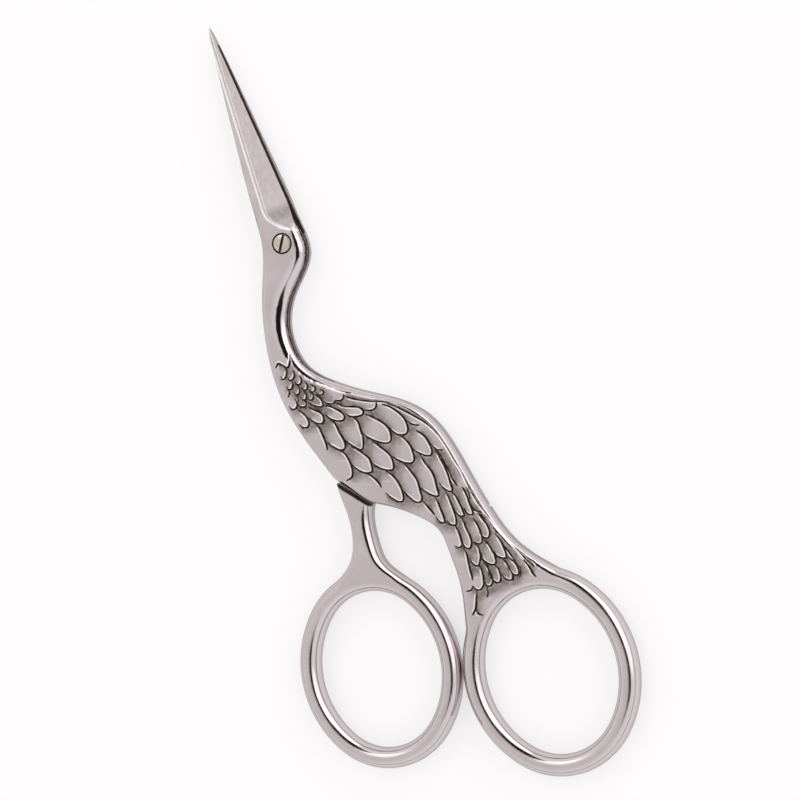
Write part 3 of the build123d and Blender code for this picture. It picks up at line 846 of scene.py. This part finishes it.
def build_half(node, side):
    """One half, drawn over its CAD node's plan. side is 1 for the front half, -1 for the rear."""
    outline, hole = (smooth_loop(loop) for loop in slice_loops(node, side * SLICE_HEIGHT)[:2])
    if side > 0:
        outline = stepped_back(outline)
    crossing = shoulder_ends(slice_loops(node, -side * SLICE_HEIGHT)[0], outline)
    ends = [number_of(place, outline) for place in crossing]
    shoulder = resample(outline[ends], LINE_STEP)
    thick = thick_outline(outline, *ends, hole)
    edges = Edges(node, outline, hole)
    grinding = Grinding(-side)
    bore_radius = BORE_RADIUS[node]
    mouth_radius = RECESS_RADIUS if side > 0 else bore_radius

    def face_mesh(loops, lines, keep, details):
        """Places, faces and numbered runs of one carved face."""
        fixed = np.vstack(loops + lines)
        edge_rows = edges.rows()
        edge_rows = sparse(edge_rows[keep(edge_rows)], EDGE_ROW_GAP)
        carving = np.vstack([plumage_rows, details])
        carving = thinned(carving[keep(carving)], fixed, CARVING_GAP)
        edge_rows = thinned(edge_rows, np.vstack([carving, *lines]), ROW_GAP)
        taken = np.vstack([fixed, edge_rows, carving])
        span = outline.min(axis=0), outline.max(axis=0)
        fine = grid(*span, FINE_STEP)
        fine = fine[near_rows(fine, carving, FINE_REACH)]
        fine = thinned(fine[keep(fine)], taken, FINE_SHARE * FINE_STEP)
        coarse = grid(*span, COARSE_STEP)
        coarse = coarse[keep(coarse)]
        coarse = coarse[~near_rows(coarse, carving, FINE_REACH)]
        coarse = thinned(coarse, taken, COARSE_SHARE * COARSE_STEP)
        return plan_mesh(loops, lines, np.vstack([edge_rows, carving, fine, coarse]))

    def on_face(points):
        return (inside(points, outline) & ~inside(points, hole)
                & (norms(points) > SCREW_ROOM[side]))

    def on_back(points):
        return inside(points, thick) & ~inside(points, hole)

    # The outer face, over the whole plan
    collars = [circle(mouth_radius + grow) for grow in COLLARS]
    places, faces, (out_i, hole_i, mouth_i, *_) = face_mesh(
        [outline, hole, circle(mouth_radius + MOUTH_GROW)], [grinding.ridge(), *collars],
        on_face, grinding.rows())
    rounded, nearness = edges.height(places)
    ground = grinding.height(places)
    top, groove_and_shade, painted_highlight = plumage.over(places, np.minimum(rounded, ground), nearness)
    top = np.maximum(top, LEAST_HEIGHT)
    if side < 0:
        top = np.minimum(top, HALF_THICKNESS)
    top[out_i] = np.minimum(edges.params[0][:, 0], np.maximum(ground[out_i], LEAST_HEIGHT))
    top[hole_i] = edges.params[1][:, 0]
    polish = np.where(places[:, 1] > BLADE_FROM, 0.0, nearness)
    polish[out_i] = 1
    # Painted highlight along the blade's ridge, added to that of the feathers' rims
    painted_highlight = np.maximum(painted_highlight, grinding.crest(places))
    # Painted shade along the parting step on the right, where the front half stands back
    if side > 0:
        beside = nearest_place(places, outline[right_side(outline)])
        width = np.interp(places[:, 1], LINE_PLACES, LINE_WIDTHS)
        strength = np.interp(places[:, 1], STRENGTH_PLACES, STRENGTHS)
        groove_and_shade = np.maximum(groove_and_shade, strength * fading(beside, width, STEP_FADE))

    # The face towards the other half, and where the half is thick, its other outer face
    b_places, b_faces, (b_out, b_hole, b_bore, b_line) = face_mesh(
        [outline, hole, circle(bore_radius)], [shoulder], on_back,
        rows_beside(resample(shoulder, BESIDE_STEP), SHOULDER_ROWS))
    thick_face = inside(b_places[b_faces].mean(axis=1), thick)
    below, b_near = edges.height(b_places)
    below, b_groove_and_shade, b_painted_highlight = plumage.over(b_places, below, b_near)
    below = np.minimum(below, HALF_THICKNESS)
    below[b_out] = edges.params[0][:, 0]
    below[b_hole] = edges.params[1][:, 0]
    # Painted shade along the shoulder, and on the rear half's step on the right
    lap_shade = np.zeros(len(b_places))
    if side < 0:
        beside = nearest_place(b_places, resample(shoulder, MARK_STEP))
        b_groove_and_shade = np.maximum(b_groove_and_shade, fading(beside, *SHOULDER_FADE))
        lap_shade[b_out] = right_side(outline) & (outline[:, 1] > LAP_SHADE_FROM)

    vertices = [marked(places, top, groove_and_shade, polish, painted_highlight), marked(b_places, LAP_FACE, lap_shade),
                marked(b_places, -below, b_groove_and_shade, b_near, b_painted_highlight)]
    lapped = np.arange(len(b_places)) + len(places)
    deep = lapped + len(b_places)
    groups = [faces, np.where(thick_face[:, None], deep[b_faces], lapped[b_faces])]
    deep_wall = np.zeros(len(outline), bool)
    deep_wall[(number_of(thick[0], outline) + np.arange(len(thick) - 1)) % len(outline)] = True
    whole_wall = np.ones(len(hole), bool)
    for upper, lower, reaching in ((out_i, b_out, deep_wall), (hole_i, b_hole, whole_wall)):
        groups.append(strip(upper, lapped[lower]))
        groups.append(strip(lapped[lower], deep[lower])[reaching])
    groups.append(np.stack([lapped[b_line[:-1]], lapped[b_line[1:]], deep[b_line[1:]],
                            deep[b_line[:-1]]], axis=1))
    walls = [(mouth_radius + wider, HALF_THICKNESS - lower) for wider, lower in MOUTH_EDGE]
    if side > 0:
        walls += [(RECESS_RADIUS, RECESS_FLOOR), (bore_radius, RECESS_FLOOR)]
    # In the front half, the recess's walls from the broken edge's lower row down get painted shade
    last = add_rings(vertices, groups, mouth_i, [
        marked(circle(radius), height, side > 0 and height < HALF_THICKNESS - RECESS_SHADE_DOWN)
        for radius, height in walls])
    groups.append(strip(last, lapped[b_bore]))
    vertices = np.vstack(vertices)
    vertices[:, 2] *= side
    return make_piece(node + "_shown", vertices, groups)


def build_screw():
    """The slotted screw: domed head with a turned edge, and the shank down to the back."""
    dome_edge = HEAD_RADIUS - HEAD_EDGE
    loop = circle(dome_edge, lean=HEAD_LEAN)
    up = np.array([sin(SLOT_LEAN), cos(SLOT_LEAN)])
    side = np.array([up[1], -up[0]])
    ways = np.arange(-SLOT_REACH, SLOT_REACH + SLOT_STEP / 5, SLOT_STEP)[:, None] * up
    lines = [ways + side * offset
             for offset in (-SLOT_HALF - SLOT_WALL, -SLOT_HALF, SLOT_HALF, SLOT_HALF + SLOT_WALL)]
    points = grid(*HEAD_GRID)
    points = points[norms(points) < dome_edge - HEAD_STEP / 2]
    points = thinned(points, np.vstack([loop, *lines]), HEAD_STEP / 2)
    ends = [sign * up * sqrt(dome_edge**2 - offset**2) + side * offset
            for offset in (-SLOT_HALF, SLOT_HALF) for sign in (-1, 1)]
    points = np.vstack([points, SLOT_ENDS * np.array(ends)])
    places, faces, (rim_i, *_) = plan_mesh([loop], lines, points)
    dome_radius = (HEAD_RADIUS**2 + HEAD_DOME**2) / (2 * HEAD_DOME)
    out = norms(places)
    top = HEAD_RIM + HEAD_DOME - dome_radius + np.sqrt(dome_radius**2 - out**2)
    aside = np.abs(places @ side)
    # Painted highlight beside the slot, and painted shade in the slot
    slotted = aside < SLOT_HALF + SLOT_PLAY
    painted_highlight = np.clip(1 - (aside - SLOT_HALF) / SLOT_HIGHLIGHT_WIDTH, 0, 1) * ~slotted
    top = np.where(slotted, SLOT_FLOOR, top)
    vertices, groups = [marked(places, top, slotted, painted_highlight=painted_highlight)], [faces]

    notch = np.abs(circle(1.0, lean=HEAD_LEAN) @ side) * HEAD_RADIUS < SLOT_HALF
    rings = []
    for radius, height in SCREW_ROWS:
        cut = SLOT_FLOOR - SLOT_FALL[1] * (HEAD_RADIUS + SLOT_FALL[0] - radius)
        level = np.where(notch & (height > SLOT_FLOOR), cut, height)
        rings.append(marked(circle(radius, lean=HEAD_LEAN), level))
    last = add_rings(vertices, groups, rim_i, rings)
    middle = np.full(CIRCLE_SIDES, sum(len(v) for v in vertices))
    vertices.append(marked(np.zeros((1, 2)), -HALF_THICKNESS))
    groups.append(np.stack([last, after(last), middle], axis=1))
    return make_piece("pivot_screw_shown", np.vstack(vertices), groups)


def make_piece(name, vertices, groups):
    """A mesh object from vertices in millimetres round the pivot, and groups of faces."""
    used = np.unique(np.concatenate([np.ravel(g) for g in groups]))
    renumber = np.full(len(vertices), -1)
    renumber[used] = np.arange(len(used))
    places = (vertices[used, :3] + PIVOT) * MM
    mesh = bpy.data.meshes.new(name)
    faces = [renumber[face].tolist() for group in groups for face in group]
    mesh.from_pydata(places.tolist(), [], faces)
    facing = bmesh.new()
    facing.from_mesh(mesh)
    bmesh.ops.recalc_face_normals(facing, faces=facing.faces)
    facing.to_mesh(mesh)
    facing.free()
    for column, label in ((3, "painted_shade"), (4, "polish"), (5, "painted_highlight")):
        values = mesh.attributes.new(label, "FLOAT", "POINT").data
        values.foreach_set("value", vertices[used, column])
    mesh.shade_smooth()
    mesh.set_sharp_from_angle(angle=SHARP_ANGLE)
    piece = bpy.data.objects.new(name, mesh)
    bpy.context.scene.collection.objects.link(piece)
    return piece


class Nodes:
    """A node tree, and short ways to add to it."""

    def __init__(self, tree):
        self.tree = tree

    def feed(self, socket, value):
        """Gives a socket a number, a colour or a vector, or joins it to another socket."""
        if isinstance(value, bpy.types.NodeSocket):
            self.tree.links.new(value, socket)
        else:
            socket.default_value = (*value, 1) if socket.type == "RGBA" else value

    def add(self, kind, inputs=(), **settings):
        """A new node with its settings, and with its inputs fed by name or number."""
        node = self.tree.nodes.new("ShaderNode" + kind)
        for name, value in settings.items():
            setattr(node, name, value)
        for name, value in dict(inputs).items():
            self.feed(node.inputs[name], value)
        return node

    def math(self, operation, *values):
        """The result of one operation on two values."""
        return self.add("Math", enumerate(values), operation=operation).outputs["Value"]

    def spread(self, value, low, high, to_low=0.0, to_high=1.0, smooth=False):
        """A value mapped from one range to another, and held at its ends."""
        limits = {"From Min": low, "From Max": high, "To Min": to_low, "To Max": to_high}
        return self.add("MapRange", {"Value": value, **limits},
                        interpolation_type="SMOOTHSTEP" if smooth else "LINEAR").outputs["Result"]

    def mix_shaders(self, *share_and_shaders):
        """Two shaders mixed by a share."""
        return self.add("MixShader", enumerate(share_and_shaders)).outputs["Shader"]

    def blend(self, share, first, second):
        """Two numbers or colours blended by a share."""
        colours = isinstance(second, tuple)
        pair = 6 if colours else 2    # number of the node's first input of this kind
        node = self.add("Mix", {0: share, pair: first, pair + 1: second},
                        data_type="RGBA" if colours else "FLOAT")
        return node.outputs[2 if colours else 0]


class Metal(Nodes):
    """A metal's material: one Principled shader, fed by noise and by the mesh's own marks."""

    def __init__(self, name):
        self.material = bpy.data.materials.new(name)
        self.material.use_nodes = True
        super().__init__(self.material.node_tree)
        self.shader = self.tree.nodes["Principled BSDF"]
        self.give("Metallic", 1.0)
        self.give("Specular Tint", TINT)
        self.place = self.add("TexCoord").outputs["Object"]

    def give(self, socket, value):
        """Feeds the shader."""
        self.feed(self.shader.inputs[socket], value)

    def marks(self, *labels):
        """The mesh's own marks."""
        return [self.add("Attribute", attribute_name=label).outputs["Fac"] for label in labels]

    def noise(self, scale, detail, stretch=(1, 1, 1), turn=0.0):
        """Noise at a scale per metre, drawn out along the scissors where stretch says so."""
        drawn = {"Vector": self.place, "Scale": stretch, "Rotation": (0, 0, turn)}
        place = self.add("Mapping", drawn).outputs["Vector"]
        inputs = {"Vector": place, "Scale": scale, "Detail": detail}
        return self.add("TexNoise", inputs).outputs["Fac"]

    def bump(self, height, depth):
        """Fine unevenness of the surface, depth in metres."""
        node = self.add("Bump", {"Distance": depth, "Height": height})
        self.give("Normal", node.outputs["Normal"])


def forged_steel(name):
    """Nickelled steel: satin on the flats, polished on the rounded edges, painted shade in the
    grooves and gaps, painted highlight on the ridge and rims.
    """
    look = Metal(name)
    painted_shade, polish, painted_highlight = look.marks("painted_shade", "polish", "painted_highlight")
    cloud = look.noise(260, 4.0)
    patch = look.noise(1500, 3.0)
    grain = look.noise(2600, 2.0, stretch=(1.0, 0.35, 1.0), turn=radians(20))

    colour = look.blend(look.spread(cloud, 0.35, 0.65), SATIN_DARK, SATIN_PALE)
    colour = look.blend(look.spread(polish, 0.1, 0.6, smooth=True), colour, POLISHED)
    # Painted shade: brownish beside the grooves, the parting step, the shoulder and the recess
    brown_shade = look.math("MULTIPLY", look.spread(painted_shade, 0.02, 0.42, smooth=True),
                     look.spread(patch, 0.3, 0.7, 0.6, 0.95))
    colour = look.blend(brown_shade, colour, SHADE_BROWN)
    # Painted highlight on the ridge and the feathers' rims
    colour = look.blend(look.spread(painted_highlight, 0.15, 0.6, smooth=True), colour, PAINTED_HIGHLIGHT)
    # Near-black painted shade where that mark is strong, its border broken up by noise
    edge = look.math("ADD", painted_shade, look.spread(patch, 0.3, 0.7, -0.16, 0.12))
    dark = look.spread(edge, 0.45, 0.85, 0, 0.97, smooth=True)
    look.give("Base Color", look.blend(dark, colour, PAINTED_SHADE))

    finish = look.spread(grain, 0.3, 0.7, *SATIN_ROUGHNESS)
    finish = look.blend(look.spread(polish, 0.08, 0.5, smooth=True), finish, POLISHED_ROUGHNESS)
    finish = look.blend(look.spread(painted_highlight, 0.2, 0.8, smooth=True), finish, HIGHLIGHT_ROUGHNESS)
    look.give("Roughness", look.blend(dark, finish, GROOVE_ROUGHNESS))
    look.bump(look.math("ADD", grain, look.math("MULTIPLY", cloud, 0.3)), FORGED_BUMP)
    return look.material


def turned_steel(name):
    """The screw: turned and nickelled, with a warm tone, painted shade in the slot and painted
    highlight beside it.
    """
    look = Metal(name)
    painted_shade, painted_highlight = look.marks("painted_shade", "painted_highlight")
    cloud = look.noise(900, 3.0)
    colour = look.blend(look.spread(cloud, 0.3, 0.7), TURNED_DARK, TURNED_PALE)
    # Painted highlight beside the slot
    colour = look.blend(look.spread(painted_highlight, 0.3, 1.0, 0, 0.8), colour, TURNED_HIGHLIGHT)
    # Painted shade in the slot
    dark = look.spread(painted_shade, 0.3, 0.9, 0, 0.9)
    look.give("Base Color", look.blend(dark, colour, SLOT_SHADE))
    finish = look.spread(cloud, 0.3, 0.7, *TURNED_ROUGHNESS)
    look.give("Roughness", look.blend(dark, finish, SLOT_ROUGHNESS))
    look.bump(cloud, TURNED_BUMP)
    return look.material


def add_camera():
    """The photograph's view: from the right, 20 degrees off straight down."""
    data = bpy.data.cameras.new("camera")
    data.sensor_width = SENSOR
    data.lens = FOCAL_LENGTH
    data.clip_start, data.clip_end = 0.01, 10
    camera = bpy.data.objects.new("camera", data)
    turn = Matrix((VIEW_RIGHT, VIEW_UP, VIEW_BACK)).transposed()
    place = (PIVOT + VIEW_TARGET) * MM + VIEW_AWAY * np.array(VIEW_BACK)
    camera.matrix_world = Matrix.Translation(place) @ turn.to_4x4()
    bpy.context.scene.collection.objects.link(camera)
    bpy.context.scene.camera = camera


def add_floor():
    """A white floor that keeps a soft share of the scissors' shadow."""
    mesh = bpy.data.meshes.new("floor")
    corners = [(-1, -1), (1, -1), (1, 1), (-1, 1)]
    mesh.from_pydata([(FLOOR_HALF * x, FLOOR_HALF * y, 0) for x, y in corners], [], [range(4)])
    floor = bpy.data.objects.new("floor", mesh)
    bpy.context.scene.collection.objects.link(floor)
    material = bpy.data.materials.new("floor")
    material.use_nodes = True
    nodes = Nodes(material.node_tree)
    matt = nodes.tree.nodes["Principled BSDF"]
    nodes.feed(matt.inputs["Base Color"], FLOOR_COLOUR)
    nodes.feed(matt.inputs["Roughness"], 1.0)
    nodes.feed(matt.inputs["Specular IOR Level"], 0.0)
    glow = nodes.add("Emission", {"Strength": FLOOR_GLOW})
    rays = nodes.add("LightPath").outputs
    seen = nodes.math("MAXIMUM", rays["Is Camera Ray"], rays["Is Glossy Ray"])
    seen = nodes.math("MAXIMUM", seen, rays["Is Transmission Ray"])
    white = nodes.mix_shaders(GLOW_SHARE, matt.outputs["BSDF"], glow.outputs["Emission"])
    surface = nodes.mix_shaders(seen, matt.outputs["BSDF"], white)
    nodes.feed(nodes.tree.nodes["Material Output"].inputs["Surface"], surface)
    mesh.materials.append(material)


def add_light():
    """Soft light from a pale room with bright screens, a dim horizon and one narrow dark gap."""
    world = bpy.data.worlds.new("room")
    world.use_nodes = True
    nodes = Nodes(world.node_tree)
    way = nodes.add("TexCoord").outputs["Generated"]

    def towards(direction, low, high):
        """1 for rays that run towards a direction, and 0 away from it."""
        dot = nodes.add("VectorMath", operation="DOT_PRODUCT")
        nodes.feed(dot.inputs[0], way)
        nodes.feed(dot.inputs[1], Vector(direction).normalized())
        return nodes.spread(dot.outputs["Value"], low, high, smooth=True)

    def mixed(share, first, second):
        """Two levels mixed by a share."""
        change = nodes.math("MULTIPLY", share, nodes.math("SUBTRACT", second, first))
        return nodes.math("ADD", first, change)

    level = ROOM_LEVEL
    for direction, inner, outer, strength in SCREENS:
        screen = towards(direction, cos(radians(outer)), cos(radians(inner)))
        level = mixed(screen, level, strength)
    horizon = nodes.math("MULTIPLY", towards((0, 0, 1), *HORIZON_FOOT),
                         towards((0, 0, -1), *HORIZON_TOP))
    level = mixed(nodes.math("MULTIPLY", horizon, HORIZON_SHARE), level, HORIZON_LEVEL)
    gap = nodes.math("MULTIPLY", towards(GAP_SIDE, *GAP_NEAR), towards(-GAP_SIDE, *GAP_FAR))
    middle = towards(GAP_MIDDLE, cos(radians(GAP_GONE)), cos(radians(GAP_FULL)))
    level = mixed(nodes.math("MULTIPLY", gap, middle), level, GAP_LEVEL)

    room = nodes.tree.nodes["Background"]
    nodes.feed(room.inputs["Color"], ROOM_COLOUR)
    nodes.feed(room.inputs["Strength"], level)
    white = nodes.add("Background", {"Color": (1, 1, 1)})
    camera = nodes.add("LightPath").outputs["Is Camera Ray"]
    seen = nodes.mix_shaders(camera, room.outputs["Background"], white.outputs["Background"])
    nodes.feed(nodes.tree.nodes["World Output"].inputs["Surface"], seen)
    bpy.context.scene.world = world


plumage = Plumage()
plumage_rows = plumage.rows()
front = build_half("front_half", 1)
rear = build_half("rear_half", -1)
screw = build_screw()
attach(screw, "rear")
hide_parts("pivot_screw")
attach(front, "front")
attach(rear, "rear")
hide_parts("front_half")
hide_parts("rear_half")

half_steel = forged_steel("forged_steel")
for piece in (front, rear):
    piece.data.materials.append(half_steel)
screw.data.materials.append(turned_steel("turned_steel"))

add_camera()
add_floor()
add_light()
bpy.context.scene.view_settings.view_transform = "Standard"
